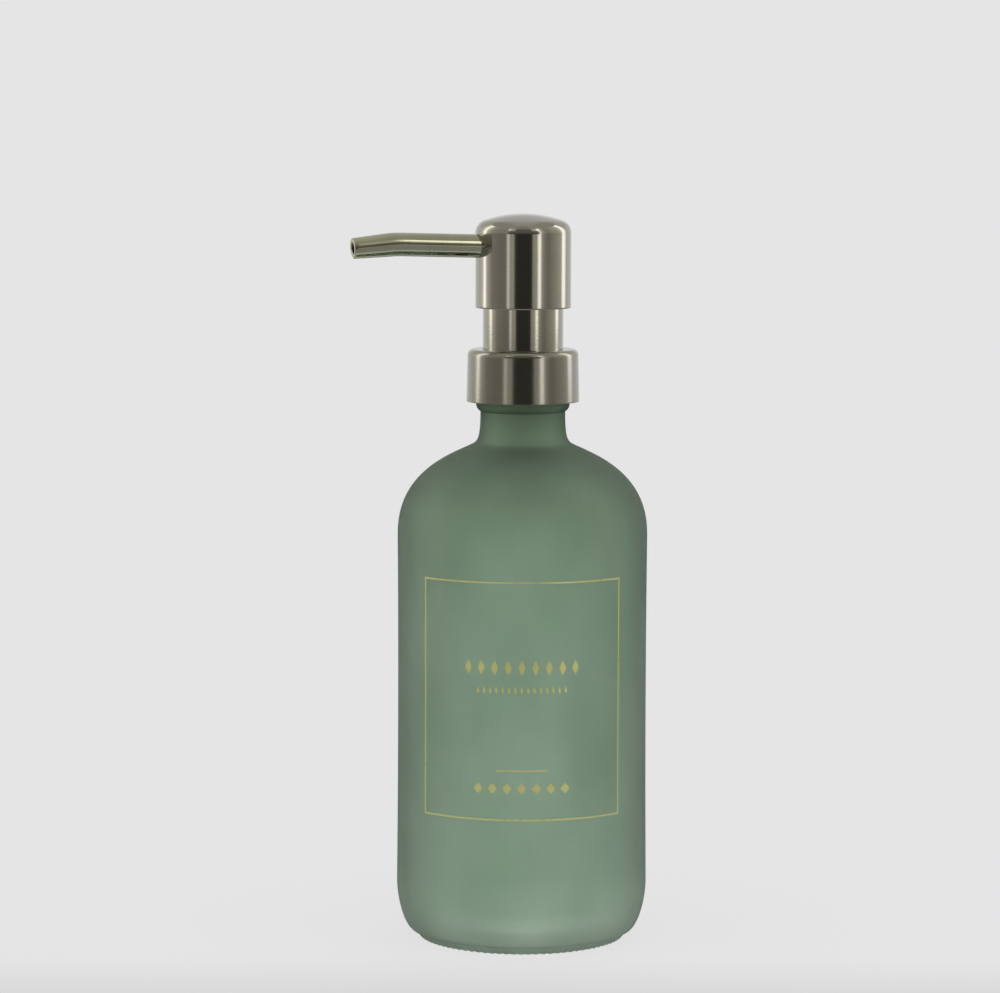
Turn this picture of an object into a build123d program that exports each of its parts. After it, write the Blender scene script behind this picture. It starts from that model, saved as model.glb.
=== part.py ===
"""Pump dispenser bottle: a frosted glass bottle with a screw collar and a press-down pump head.

Millimetres, +Z up. The origin is the middle of the foot ring on the surface that the bottle stands
on. The printed front faces -Y, and the spout points to the left of it.
"""
from build123d import *
from math import cos, radians, sin, tan
import os

os.makedirs("parts", exist_ok=True)

# Glass bottle, outside
body_radius = 37.9
body_taper = 0.2
waist_depth = 0.35
body_height = 122.8
heel_height = 17.5
heel_depth = 4.45
heel_fullness = 6.5
foot_height = 2.5
foot_inset = 2.2
bearing_width = 1.8
shoulder_height = 27.2
shoulder_fullness = 19.4
shoulder_slope = 28.5
neck_radius = 12.75
neck_flare = 0.2
neck_height = 9.8
neck_fillet = 4.0
bead_radius = 14.1
bead_height = 3.8
bead_fillet = 2.5
finish_radius = 12.65
finish_height = 10.4
lip_fillet = 0.8

# Glass bottle, inside
glass_wall = 2.4
base_wall = 4.5
push_up = 3.0
neck_bore_radius = 9.8
inner_heel_radius = 10.0

# Screw thread between bottle and closure
thread_pitch = 25.4 / 6
thread_turns = 1.25
thread_depth = 1.03
thread_root_width = 2.3
thread_crest_width = 1.1
thread_drop = 1.2
thread_clearance = 0.3
thread_sink = 0.15

# Gold print on the front
print_thickness = 0.15
frame_above_heel = 24.2
frame_below_shoulder = 10.6
frame_half_angle = 49.5
frame_line = 0.45
upper_row_drop = 25.2
upper_row_count = 9
upper_row_pitch = 4.1
upper_mark_width = 2.2
upper_mark_height = 4.6
middle_row_drop = 6.7
middle_row_count = 15
middle_row_pitch = 1.9
middle_mark_width = 0.9
middle_mark_height = 2.4
rule_rise = 5.3
rule_length = 15.4
lower_row_rise = 9.4
lower_row_count = 7
lower_row_pitch = 4.4
lower_mark_width = 2.9
lower_mark_height = 3.2

# Fits
running_gap = 0.1
press_gap = 0.05

# Collar: metal shell over a threaded closure, with the gasket under it
shell_wall = 0.5
collar_radius_top = 16.65
collar_radius_bottom = 17.0
collar_height = 15.75
collar_fillet = 1.8
closure_top_wall = 1.7
closure_skirt_gap = 0.3
gasket_thickness = 1.0
gasket_bore_gap = 0.3

# Pump housing and dip tube
flange_radius = 12.7
flange_thickness = 1.2
barrel_bore_radius = 6.6
barrel_wall = 1.2
barrel_depth = 46.0
barrel_rise = 6.8
valve_cone_height = 4.6
valve_hole_radius = 1.6
socket_length = 11.0
socket_wall = 1.2
vent_radius = 0.6
vent_drop = 5.0
tube_radius = 3.0
tube_wall = 0.8
tube_floor_gap = 1.5
tube_cut_angle = 30.0

# Stem guide and the metal sleeve over it
sleeve_radius = 12.1
sleeve_wall = 0.45
sleeve_height = 14.9
guide_wall = 1.3
guide_web = 2.0
guide_tube_wall = 1.5
guide_tube_height = 1.9
guide_plug_length = 10.3
wiper_height = 1.5
wiper_width = 1.7

# Plunger: piston, stem, retainer, spring and balls
stroke = 11.5
stem_radius = 3.8
stem_bore_radius = 2.2
stem_shoulder_width = 0.8
stem_shoulder_height = 1.2
piston_stop_gap = 0.4
piston_height = 8.0
piston_lip_wall = 1.05
piston_hub_wall = 1.1
piston_hub_height = 6.0
piston_web = 1.5
retainer_height = 2.5
retainer_flange = 2.0
retainer_hole_radius = 1.0
spring_radius = 4.9
spring_wire = 1.0
spring_turns = 7.0
cage_height = 2.6
cage_wall = 1.3
cage_bar_width = 1.2
inlet_ball_radius = 2.5
outlet_ball_radius = 1.5

# Pump head and spout
head_radius = 14.4
head_wall = 0.45
head_height = 28.2
head_corner = 4.0
head_crown_radius = 36.0
rim_clearance = 0.9
core_skirt_wall = 1.15
core_skirt_inset = 0.8
core_web_z = 14.1
core_height = 8.8
core_boss_radius = 5.6
core_boss_length = 6.1
core_stem_depth = 5.2
core_pocket_depth = 6.0
core_pocket_radius = 2.6
core_pocket_circle = 9.6
spout_azimuth = 17.0
spout_drop = 9.6
spout_radius = 3.53
spout_bore_radius = 2.1
spout_tip_radius = 3.1
spout_tip_bore_radius = 1.7
spout_reach = 52.9
spout_bend_reach = 39.8
spout_bend_radius = 40.0
spout_rise_angle = 1.7
spout_fall_angle = 5.0
spout_socket_start = 4.5
seal_reach = 8.0
seal_length = 1.6
seal_width = 0.9

# Heights that follow from the sizes above
frame_low = heel_height + frame_above_heel
frame_high = body_height - frame_below_shoulder
upper_row_z = frame_high - upper_row_drop
middle_row_z = upper_row_z - middle_row_drop
lower_row_z = frame_low + lower_row_rise
rule_z = lower_row_z + rule_rise
shoulder_top = body_height + shoulder_height
bead_low = shoulder_top + neck_height
bead_high = bead_low + bead_height
lip_z = bead_high + finish_height
flange_low = lip_z + gasket_thickness
flange_high = flange_low + flange_thickness
closure_ceiling = flange_high + running_gap
closure_high = closure_ceiling + closure_top_wall
collar_high = closure_high + running_gap + shell_wall
collar_low = collar_high - collar_height
sleeve_low = closure_high + running_gap
sleeve_high = sleeve_low + sleeve_height
barrel_high = flange_high + barrel_rise
barrel_low = flange_low - barrel_depth
rim_z = collar_high + stroke + rim_clearance
head_high = rim_z + head_height
spout_z = head_high - spout_drop
bottle_floor = push_up + base_wall


def tube(outer_radius, inner_radius, low, high):
    """Straight round tube about Z, or a solid rod where the inner radius is 0."""
    along = (Align.CENTER, Align.CENTER, Align.MIN)
    wall = Cylinder(outer_radius, high - low, align=along)
    if inner_radius > 0:
        wall -= Cylinder(inner_radius, high - low, align=along)
    return Pos(0, 0, low) * wall


def turned(*edges):
    """Solid of revolution about Z from a closed outline drawn as (radius, height)."""
    return revolve(Plane.XZ * make_face(list(edges)), Axis.Z)


def thread_ridge(root_radius, side, width, crest, low, start_angle, turns):
    """Right-handed ridge on a cylinder, outwards (side 1) or inwards (side -1), from its middle height."""
    path = Pos(0, 0, low) * Rot(0, 0, start_angle) * Helix(thread_pitch, thread_pitch * turns, root_radius)
    start = path @ 0
    outwards = Vector(start.X, start.Y, 0).normalized() * side
    across = (path % 0).cross(outwards)
    section = Plane(origin=start, x_dir=outwards, z_dir=outwards.cross(across))
    outline = Polyline(
        (-thread_sink, -width / 2), (thread_depth, -crest / 2),
        (thread_depth, crest / 2), (-thread_sink, width / 2), close=True,
    )
    return sweep(section * make_face(outline), path=path, is_frenet=True)


def dome(radius, low, high, crown_radius, corner):
    """Solid cap: straight side, rounded corner and a shallow crown."""
    sag = crown_radius - (crown_radius**2 - radius**2) ** 0.5
    mid_sag = crown_radius - (crown_radius**2 - (radius / 2) ** 2) ** 0.5
    outline = make_face([
        Line((0, low), (radius, low)),
        Line((radius, low), (radius, high - sag)),
        ThreePointArc((radius, high - sag), (radius / 2, high - mid_sag), (0, high)),
        Line((0, high), (0, low)),
    ])
    shoulder = outline.vertices().group_by(Axis.X)[-1].sort_by(Axis.Y)[-1]
    return revolve(Plane.XZ * fillet(shoulder, corner), Axis.Z)


# Glass bottle

body_side = Bezier(
    (body_radius, heel_height),
    (body_radius - 2 * waist_depth + body_taper / 2, (heel_height + body_height) / 2),
    (body_radius - body_taper, body_height),
)


def shoulder_curve(start, lead, end, slope, tail):
    """Cubic from the body's side, leaving along lead, to the foot of the neck at the given slope."""
    pull = Vector(cos(radians(slope)), -sin(radians(slope))) * tail
    return Bezier(start, Vector(start) + lead, Vector(end) + pull, end)


def glass_outside():
    """Solid blank of the bottle, without the thread."""
    foot = Vector(body_radius - heel_depth, foot_height)
    bearing = Vector(foot.X - foot_inset, 0)
    heel_start = body_side @ 0
    heel = Bezier(
        foot,
        foot + Vector(heel_depth * 0.6, heel_depth * 0.3),
        heel_start - (body_side % 0) * heel_fullness,
        heel_start,
    )
    shoulder_end = Vector(neck_radius + neck_flare + neck_fillet / 2, shoulder_top)
    shoulder = shoulder_curve(
        body_side @ 1, (body_side % 1) * shoulder_fullness, shoulder_end, shoulder_slope, neck_fillet * 1.5
    )
    neck = Bezier(
        shoulder_end,
        shoulder_end + Vector(-neck_fillet / 2, neck_fillet / 2 * tan(radians(shoulder_slope))),
        Vector(neck_radius + neck_flare / 2, shoulder_top + neck_fillet),
        Vector(neck_radius, bead_low),
    )
    bead = FilletPolyline(
        (neck_radius, bead_low), (bead_radius, bead_low + bead_fillet * 0.4), (bead_radius, bead_high),
        (finish_radius, bead_high), (finish_radius, lip_z), (0, lip_z),
        radius=[bead_fillet, bead_fillet / 6, bead_fillet / 6, lip_fillet],
    )
    return turned(
        Line((0, 0), bearing), Line(bearing, foot), heel, body_side, shoulder, neck, *bead.edges(),
        Line((0, lip_z), (0, 0)),
    )


def glass_inside():
    """The hollow for the liquid, open at the lip."""
    inner_radius = body_radius - waist_depth - glass_wall
    low = Vector(inner_radius, bottle_floor + inner_heel_radius)
    high = Vector(inner_radius, body_height)
    throat = Vector(neck_bore_radius + glass_wall, shoulder_top - glass_wall)
    shoulder = shoulder_curve(
        high, Vector(0, shoulder_fullness - glass_wall), throat, shoulder_slope, neck_fillet * 1.5
    )
    neck = Bezier(
        throat,
        throat + Vector(-glass_wall, glass_wall * tan(radians(shoulder_slope))),
        (neck_bore_radius, shoulder_top),
        (neck_bore_radius, shoulder_top + neck_fillet),
    )
    heel_start = Vector(inner_radius - inner_heel_radius, bottle_floor - push_up / 2)
    heel = Bezier(
        heel_start, heel_start + Vector(inner_heel_radius * 0.6, -push_up / 6),
        low - Vector(0, inner_heel_radius * 0.6), low,
    )
    floor = Bezier((0, bottle_floor), (heel_start.X / 2, bottle_floor), heel_start)
    above = lip_z + lip_fillet
    return turned(
        floor, heel, Line(low, high), shoulder, neck,
        Line((neck_bore_radius, shoulder_top + neck_fillet), (neck_bore_radius, above)),
        Line((neck_bore_radius, above), (0, above)), Line((0, above), (0, bottle_floor)),
    )


def push_up_hollow():
    """Shallow dome under the base, inside the bearing ring."""
    edge = body_radius - heel_depth - foot_inset - bearing_width
    return turned(
        Line((0, 0), (edge, 0)), Bezier((edge, 0), (edge / 2, push_up), (0, push_up)),
        Line((0, push_up), (0, 0)),
    )


bottle_thread_low = lip_z - thread_drop - thread_root_width / 2 - thread_pitch * thread_turns
bottle = glass_outside()
bottle += thread_ridge(
    finish_radius, 1, thread_root_width, thread_crest_width, bottle_thread_low, 0, thread_turns
)
bottle -= glass_inside()
bottle -= push_up_hollow()


# Gold print: a thin layer on the front of the glass

def print_skin():
    """The layer as if it went all the way round, between the heel and the shoulder."""
    offset_side = Pos(print_thickness, 0) * body_side
    return turned(
        body_side, Line(body_side @ 1, offset_side @ 1), offset_side, Line(offset_side @ 0, body_side @ 0)
    )


def front_sector(half_angle, low, high):
    """Block over the front of the bottle, as wide as the given angle to each side."""
    block = Cylinder(
        body_radius * 1.2, high - low, arc_size=2 * half_angle,
        align=(Align.NONE, Align.NONE, Align.MIN),
    )
    return Pos(0, 0, low) * Rot(0, 0, -90 - half_angle) * block


def front_marks(outline, height, count, pitch):
    """Row of one mark, spaced evenly round the front."""
    block = Pos(0, -body_radius, 0) * extrude(Plane.XZ * outline, amount=glass_wall, both=True)
    step = pitch / radians(body_radius)
    turns = [(i - (count - 1) / 2) * step for i in range(count)]
    return [Pos(0, 0, height) * Rot(0, 0, turn) * block for turn in turns]


def lozenge(width, height):
    """Upright diamond, drawn flat."""
    return make_face(
        Polyline((-width / 2, 0), (0, -height / 2), (width / 2, 0), (0, height / 2), close=True)
    )


half_line = frame_line / 2
line_angle = half_line / radians(body_radius)
frame_block = front_sector(frame_half_angle + line_angle, frame_low - half_line, frame_high + half_line)
frame_block -= front_sector(frame_half_angle - line_angle, frame_low + half_line, frame_high - half_line)
print_blocks = [
    frame_block,
    *front_marks(
        lozenge(upper_mark_width, upper_mark_height), upper_row_z, upper_row_count, upper_row_pitch
    ),
    *front_marks(
        lozenge(middle_mark_width, middle_mark_height), middle_row_z, middle_row_count, middle_row_pitch
    ),
    *front_marks(Rectangle(rule_length, frame_line), rule_z, 1, 0),
    *front_marks(
        lozenge(lower_mark_width, lower_mark_height), lower_row_z, lower_row_count, lower_row_pitch
    ),
]
skin = print_skin()
gold_print = Compound([solid for block in print_blocks for solid in (skin & block).solids()])


# Collar

def cup_outline(radius_top, radius_bottom, high, low, corner):
    """Solid tapered cap with a rounded top edge."""
    outline = FilletPolyline(
        (radius_bottom, low), (radius_top, high), (0, high), radius=corner,
    )
    return turned(*outline.edges(), Line((0, high), (0, low)), Line((0, low), (radius_bottom, low)))


collar_shell = cup_outline(collar_radius_top, collar_radius_bottom, collar_high, collar_low, collar_fillet)
collar_shell -= cup_outline(
    collar_radius_top - shell_wall, collar_radius_bottom - shell_wall,
    collar_high - shell_wall, collar_low, collar_fillet - shell_wall,
)
collar_shell -= tube(sleeve_radius + running_gap, 0, collar_low, collar_high + shell_wall)

closure_inset = shell_wall + press_gap
closure_low = bead_high + closure_skirt_gap
closure_bore_radius = finish_radius + thread_depth + thread_clearance
barrel_radius = barrel_bore_radius + barrel_wall
closure_cap = cup_outline(
    collar_radius_top - closure_inset, collar_radius_bottom - closure_inset,
    closure_high, closure_low, collar_fillet - shell_wall,
)
closure_cap -= tube(closure_bore_radius, 0, closure_low, closure_ceiling)
closure_thread_low = bottle_thread_low + thread_clearance
closure_cap += thread_ridge(
    closure_bore_radius, -1, thread_root_width, thread_crest_width, closure_thread_low, 180, thread_turns
)
closure_cap -= tube(barrel_radius + running_gap, 0, closure_ceiling, closure_high)

neck_gasket = tube(flange_radius, barrel_radius + gasket_bore_gap, lip_z, flange_low)


# Pump housing, with the inlet valve's seat and the socket for the dip tube

valve_seat = barrel_low - valve_cone_height
socket_low = valve_seat - socket_length
socket_radius = tube_radius + press_gap
socket_outer = socket_radius + socket_wall
tube_high = valve_seat - socket_wall
pump_housing = turned(*Polyline(
    (socket_radius, socket_low), (socket_outer, socket_low), (socket_outer, valve_seat),
    (barrel_radius, barrel_low), (barrel_radius, flange_low), (flange_radius, flange_low),
    (flange_radius, flange_high), (barrel_radius, flange_high), (barrel_radius, barrel_high),
    (barrel_bore_radius, barrel_high), (barrel_bore_radius, barrel_low), (valve_hole_radius, valve_seat),
    (valve_hole_radius, tube_high), (socket_radius, tube_high), close=True,
).edges())
vent_place = Pos(barrel_radius - barrel_wall / 2, 0, flange_low - vent_drop)
pump_housing -= vent_place * Rot(0, 90, 0) * Cylinder(vent_radius, 3 * barrel_wall)

tube_low = bottle_floor + tube_floor_gap
dip_tube = tube(tube_radius, tube_radius - tube_wall, tube_low, tube_high)
tube_bevel = 2 * tube_radius * tan(radians(tube_cut_angle))
dip_tube -= extrude(
    Plane.XZ * make_face(Polyline(
        (-tube_radius, tube_low), (tube_radius, tube_low), (tube_radius, tube_low + tube_bevel), close=True
    )),
    amount=tube_radius, both=True,
)

cage_radius = barrel_bore_radius - press_gap
cage_high = barrel_low + cage_height
ball_retainer = tube(cage_radius, cage_radius - cage_wall, barrel_low, cage_high)
cage_bar = Box(2 * (cage_radius - cage_wall / 2), cage_bar_width, cage_height / 2)
ball_retainer += Pos(0, 0, cage_high - cage_height / 4) * (cage_bar + Rot(0, 0, 90) * cage_bar)

# A ball rests where its distance from the cone's wall is its radius.
cone_run = barrel_bore_radius - valve_hole_radius
cone_slant = (cone_run**2 + valve_cone_height**2) ** 0.5
ball_rise = (inlet_ball_radius * cone_slant - valve_hole_radius * valve_cone_height) / cone_run + press_gap
inlet_ball = Pos(0, 0, valve_seat + ball_rise) * Sphere(inlet_ball_radius)


# Stem guide: holds the stem upright, and clips over the top of the housing

guide_bore = stem_radius + running_gap
guide_radius = sleeve_radius - sleeve_wall - press_gap
web_low = barrel_high + press_gap
web_high = web_low + guide_web
plug_low = web_low - guide_plug_length
clip_bore = barrel_radius + press_gap
stem_guide = tube(guide_radius, guide_bore, web_low, web_high)
stem_guide += tube(guide_radius, guide_radius - guide_wall, sleeve_low, sleeve_high - running_gap)
stem_guide += tube(clip_bore + guide_wall, clip_bore, sleeve_low, web_low)
stem_guide += tube(barrel_bore_radius - press_gap, guide_bore, plug_low, web_low)
stem_guide += tube(guide_bore + guide_tube_wall, guide_bore, web_high, web_high + guide_tube_height)
stem_guide -= tube(guide_bore + wiper_width, 0, plug_low, plug_low + wiper_height)
wiper_outer = guide_bore + wiper_width - press_gap
stem_wiper = tube(wiper_outer, stem_radius + running_gap / 2, plug_low, plug_low + wiper_height)

guide_sleeve = tube(sleeve_radius, sleeve_radius - sleeve_wall, sleeve_low, sleeve_high)


# Plunger

piston_high = plug_low - piston_stop_gap
piston_low = piston_high - piston_height
hub_high = piston_high - stem_shoulder_height - running_gap
hub_low = hub_high - piston_hub_height
hub_bore = stem_radius + running_gap / 2
hub_radius = hub_bore + piston_hub_wall
piston_radius = barrel_bore_radius - running_gap / 2
web_mid = (piston_low + piston_high) / 2
piston = tube(piston_radius, piston_radius - piston_lip_wall, piston_low, piston_high)
piston += tube(hub_radius, hub_bore, hub_low, hub_high)
piston += tube(piston_radius, hub_bore, web_mid - piston_web / 2, web_mid + piston_web / 2)

retainer_high = hub_low - running_gap
retainer_low = retainer_high - retainer_height
head_boss_low = rim_z + core_web_z - core_boss_length
stem_high = head_boss_low + core_stem_depth
stem = tube(stem_radius, stem_bore_radius, retainer_low, stem_high)
stem += tube(
    stem_radius + stem_shoulder_width, stem_bore_radius,
    hub_high + running_gap, hub_high + running_gap + stem_shoulder_height,
)
stem -= tube(stem_radius, 0, retainer_low, retainer_high)
piston_retainer = tube(hub_radius, retainer_hole_radius, retainer_low, retainer_high)
plug_radius = stem_bore_radius - press_gap
plug_high = retainer_high + retainer_flange
piston_retainer += tube(plug_radius, retainer_hole_radius, retainer_high, plug_high)

seat_rise = (outlet_ball_radius**2 - retainer_hole_radius**2) ** 0.5
outlet_ball = Pos(0, 0, plug_high + seat_rise) * Sphere(outlet_ball_radius)

spring_low = cage_high + spring_wire / 2
spring_high = retainer_low - spring_wire / 2
spring_pitch = (spring_high - spring_low) / spring_turns
spring_path = Pos(0, 0, spring_low) * Helix(spring_pitch, spring_high - spring_low, spring_radius)
wire_plane = Plane(origin=spring_path @ 0, z_dir=spring_path % 0)
return_spring = sweep(wire_plane * Circle(spring_wire / 2), path=spring_path, is_frenet=True)


# Pump head

def along_spout(solid):
    """Turn what was made along +X to the way that the spout points."""
    return Rot(0, 0, 180 + spout_azimuth) * solid


rise_slope = tan(radians(spout_rise_angle))
bend_z = spout_z + (spout_bend_reach - head_radius) * rise_slope
bend_length = spout_bend_radius * tan(radians(spout_rise_angle + spout_fall_angle) / 2)
bend_point = Vector(spout_bend_reach, 0, bend_z)
rise = Vector(cos(radians(spout_rise_angle)), 0, sin(radians(spout_rise_angle)))
fall = Vector(cos(radians(spout_fall_angle)), 0, -sin(radians(spout_fall_angle)))
bend_start = bend_point - rise * bend_length
bend_end = bend_point + fall * bend_length
spout_tip = bend_point + fall * ((spout_reach - spout_bend_reach) / fall.X)
spout_start = bend_point - rise * ((spout_bend_reach - spout_socket_start) / rise.X)


def spout_solid(radius, tip_radius, start):
    """Round bar along the spout's centre line, tapering after the bend."""
    straight = Line(start, bend_start)
    bend = TangentArc(bend_start, bend_end, tangent=rise)
    root_plane = Plane(origin=start, z_dir=rise)
    bar = sweep(root_plane * Circle(radius), path=Wire([straight, bend]))
    end_plane = Plane(origin=bend_end, z_dir=fall)
    tip_plane = Plane(origin=spout_tip, z_dir=fall)
    return bar + loft([end_plane * Circle(radius), tip_plane * Circle(tip_radius)])


spout = along_spout(
    spout_solid(spout_radius, spout_tip_radius, spout_start)
    - spout_solid(spout_bore_radius, spout_tip_bore_radius, spout_start)
)


def spout_bore(radius, start_reach, length):
    """Bar on the line of the spout's straight part, for holes and rings round it."""
    start = bend_point - rise * ((spout_bend_reach - start_reach) / rise.X)
    bar = Cylinder(radius, length, align=(Align.CENTER, Align.CENTER, Align.MIN))
    return along_spout(Plane(origin=start, z_dir=rise) * bar)


head_shell = dome(head_radius, rim_z, head_high, head_crown_radius, head_corner)
head_shell -= dome(
    head_radius - head_wall, rim_z, head_high - head_wall,
    head_crown_radius - head_wall, head_corner - head_wall,
)
head_shell -= spout_bore(spout_radius + press_gap, head_radius / 2, head_radius)

core_radius = head_radius - head_wall - press_gap
core_web_low = rim_z + core_web_z
core_high = core_web_low + core_height
head_core = cup_outline(core_radius, core_radius, core_high, core_web_low, head_wall)
head_core += tube(core_radius, core_radius - core_skirt_wall, rim_z + core_skirt_inset, core_web_low)
head_core += tube(core_boss_radius, 0, head_boss_low, core_web_low)
head_core -= tube(stem_radius + press_gap / 2, 0, head_boss_low, stem_high + press_gap)
head_core -= tube(stem_bore_radius, 0, head_boss_low, spout_z)
head_core -= spout_bore(spout_bore_radius, 0, spout_socket_start)
head_core -= spout_bore(spout_radius + press_gap / 2, spout_socket_start, head_radius)
head_core -= spout_bore(spout_radius + seal_width, seal_reach, seal_length)
pocket = Cylinder(core_pocket_radius, core_pocket_depth, align=(Align.CENTER, Align.CENTER, Align.MAX))
for turn in (45, 90, 135, 180, 225, 270, 315):
    head_core -= along_spout(Rot(0, 0, turn) * Pos(core_pocket_circle, 0, core_high) * pocket)

spout_seal = spout_bore(spout_radius + seal_width - press_gap, seal_reach + press_gap, seal_length - 2 * press_gap)
spout_seal -= spout_bore(spout_radius + press_gap / 2, seal_reach, seal_length)


nodes = {
    "bottle": bottle,
    "gold_print": gold_print,
    "collar_shell": collar_shell,
    "closure_cap": closure_cap,
    "neck_gasket": neck_gasket,
    "pump_housing": pump_housing,
    "dip_tube": dip_tube,
    "ball_retainer": ball_retainer,
    "inlet_ball": inlet_ball,
    "stem_guide": stem_guide,
    "stem_wiper": stem_wiper,
    "guide_sleeve": guide_sleeve,
    "return_spring": return_spring,
    "piston": piston,
    "piston_retainer": piston_retainer,
    "stem": stem,
    "outlet_ball": outlet_ball,
    "head_core": head_core,
    "head_shell": head_shell,
    "spout": spout,
    "spout_seal": spout_seal,
}
for name, solid in nodes.items():
    export_step(solid, f"parts/{name}.step")
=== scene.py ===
"""Looks of the pump dispenser bottle, dressed over its solids. Metres, +Z up, front -Y.

Sizes are written in millimetres, as on the drawing, and turned to metres where a mesh is made.
"""
from math import atan2, cos, pi, radians, sin, tan

import bmesh
import bpy
from mathutils import Matrix, Vector


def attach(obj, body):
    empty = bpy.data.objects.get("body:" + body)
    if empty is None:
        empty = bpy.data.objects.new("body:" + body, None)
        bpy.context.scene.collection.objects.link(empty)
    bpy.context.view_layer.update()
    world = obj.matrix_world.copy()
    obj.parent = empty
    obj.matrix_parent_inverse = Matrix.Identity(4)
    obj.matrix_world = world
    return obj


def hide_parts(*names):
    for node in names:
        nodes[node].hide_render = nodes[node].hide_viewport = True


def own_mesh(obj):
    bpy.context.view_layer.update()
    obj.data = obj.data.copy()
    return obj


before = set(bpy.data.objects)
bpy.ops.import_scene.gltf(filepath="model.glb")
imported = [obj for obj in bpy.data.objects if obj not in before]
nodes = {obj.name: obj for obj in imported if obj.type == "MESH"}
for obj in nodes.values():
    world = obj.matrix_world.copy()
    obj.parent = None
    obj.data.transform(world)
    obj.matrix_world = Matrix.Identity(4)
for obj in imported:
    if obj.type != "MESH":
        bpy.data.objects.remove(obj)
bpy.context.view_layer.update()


# Bottle
# A blown bottle of green glass, satin from an acid bath on the outside and left smooth inside. It stands on
# a stippled ring round a pushed-up base, and carries a bead and a one-and-a-quarter turn thread at the top.

mm = 0.001
segments = 480
body_radius, body_taper, waist_depth, body_height = 37.9, 0.2, 0.35, 122.8
heel_height, heel_fullness, heel_start_out, heel_start_up = 17.5, 6.5, 2.1, 1.35
bearing_inner, bearing_outer, band_radius, band_height, groove_radius = 29.45, 30.95, 32.1, 1.9, 32.3
foot_radius, foot_height, groove_rise, push_up = 33.65, 2.4, 0.15, 3.0
shoulder_top, shoulder_slope, shoulder_fullness, shoulder_pull = 150.0, radians(28.5), 19.4, 6.0
neck_radius, neck_flare, neck_fillet, neck_pull = 12.75, 0.2, 4.0, 2.0
bead_radius, bead_low, bead_high, bead_rise, bead_fillet, bead_edge = 14.1, 159.8, 163.6, 1.0, 2.5, 0.4
finish_radius, lip_z, lip_start, lip_fillet, bore_radius, bore_entry = 12.65, 174.0, 0.9, 0.8, 9.8, 6.0
wall, bottle_floor, inner_heel = 2.4, 7.5, 10.0
thread_pitch, thread_turns, thread_depth, thread_low = 25.4 / 6, 1.25, 1.03, 166.358
thread_root, thread_crest, thread_run_in = 1.15, 0.55, radians(25)
stipple_count, stipple_depth, stipple_width = 88, 0.32, 1.2


def bezier(start, lead, tail, end, steps):
    """Points along a cubic curve, without its last one."""
    return [
        tuple(
            (1 - t) ** 3 * a + 3 * (1 - t) ** 2 * t * b + 3 * (1 - t) * t * t * c + t**3 * d
            for a, b, c, d in zip(start, lead, tail, end)
        )
        for t in (i / steps for i in range(steps))
    ]


def rounded(corners, steps=5):
    """Outline through corners given as (radius, height, rounding), each rounding drawn as an arc."""
    outline = []
    for i, (x, y, size) in enumerate(corners):
        here = Vector((x, y))
        if size == 0:
            outline.append((x, y))
            continue
        to_last = (Vector(corners[i - 1][:2]) - here).normalized()
        to_next = (Vector(corners[(i + 1) % len(corners)][:2]) - here).normalized()
        half = to_last.angle(to_next) / 2
        centre = here + (to_last + to_next).normalized() * (size / sin(half))
        first = here + to_last * (size / tan(half)) - centre
        last = here + to_next * (size / tan(half)) - centre
        start = atan2(first.y, first.x)
        turn = (atan2(last.y, last.x) - start + pi) % (2 * pi) - pi
        for k in range(steps + 1):
            angle = start + turn * k / steps
            outline.append((centre.x + size * cos(angle), centre.y + size * sin(angle)))
    return outline


def held(outline, looped=True, hold=0.3):
    """The outline with a point just inside the ends of each long straight run, so that it is shaded flat."""
    points = []
    for a, b in zip(outline, outline[1:] + outline[:1] if looped else outline[1:]):
        points.append(a)
        length = ((b[0] - a[0]) ** 2 + (b[1] - a[1]) ** 2) ** 0.5
        for share in (hold / length, 1 - hold / length) if length > 4 * hold else ():
            points.append(tuple(p + (q - p) * share for p, q in zip(a, b)))
    return points if looped else [*points, outline[-1]]


def evenly(start, end, steps):
    """Points on a straight run, without its last one."""
    return [tuple(a + (b - a) * i / steps for a, b in zip(start, end)) for i in range(steps)]


def skin(work, rings, looped=False, closed=False):
    """Faces between rings of points: looped joins the last ring to the first, closed each ring's ends."""
    for a, b in zip(rings, rings[1:] + rings[:1] if looped else rings[1:]):
        for i in range(len(a) if closed else len(a) - 1):
            j = (i + 1) % len(a)
            work.faces.new(dict.fromkeys((a[i], a[j], b[j], b[i])))


def plain_mesh(work, name):
    """Turn a mesh in the making to a mesh, as it is."""
    mesh = bpy.data.meshes.new(name)
    work.to_mesh(mesh)
    work.free()
    return mesh


def solid_piece(work, name, sharp=radians(40)):
    """The closed mesh in the making as a smooth object that faces outwards."""
    if work.calc_volume(signed=True) < 0:
        bmesh.ops.reverse_faces(work, faces=work.faces)
    mesh = plain_mesh(work, name)
    mesh.shade_smooth()
    mesh.set_sharp_from_angle(angle=sharp)
    piece = bpy.data.objects.new(name, mesh)
    bpy.context.scene.collection.objects.link(piece)
    return piece


def lathe(name, outline, segments, shape=None, sharp=radians(40)):
    """Closed piece turned about Z from an outline in mm, looped where its ends aren't on the axis."""
    work = bmesh.new()
    rings = []
    for radius, height in outline:
        if radius < 1e-6:
            rings.append([work.verts.new((0, 0, height * mm))] * segments)
            continue
        ring = []
        for i in range(segments):
            angle = 2 * pi * i / segments
            r, z = shape(radius, height, angle) if shape else (radius, height)
            ring.append(work.verts.new((r * mm * cos(angle), r * mm * sin(angle), z * mm)))
        rings.append(ring)
    skin(work, rings, looped=outline[0][0] > 1e-6, closed=True)
    return solid_piece(work, name, sharp)


body_bow = waist_depth - body_taper / 2
side_height = body_height - heel_height
lean_low = (4 * body_bow + body_taper) / side_height
lean_high = (4 * body_bow - body_taper) / side_height


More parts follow.
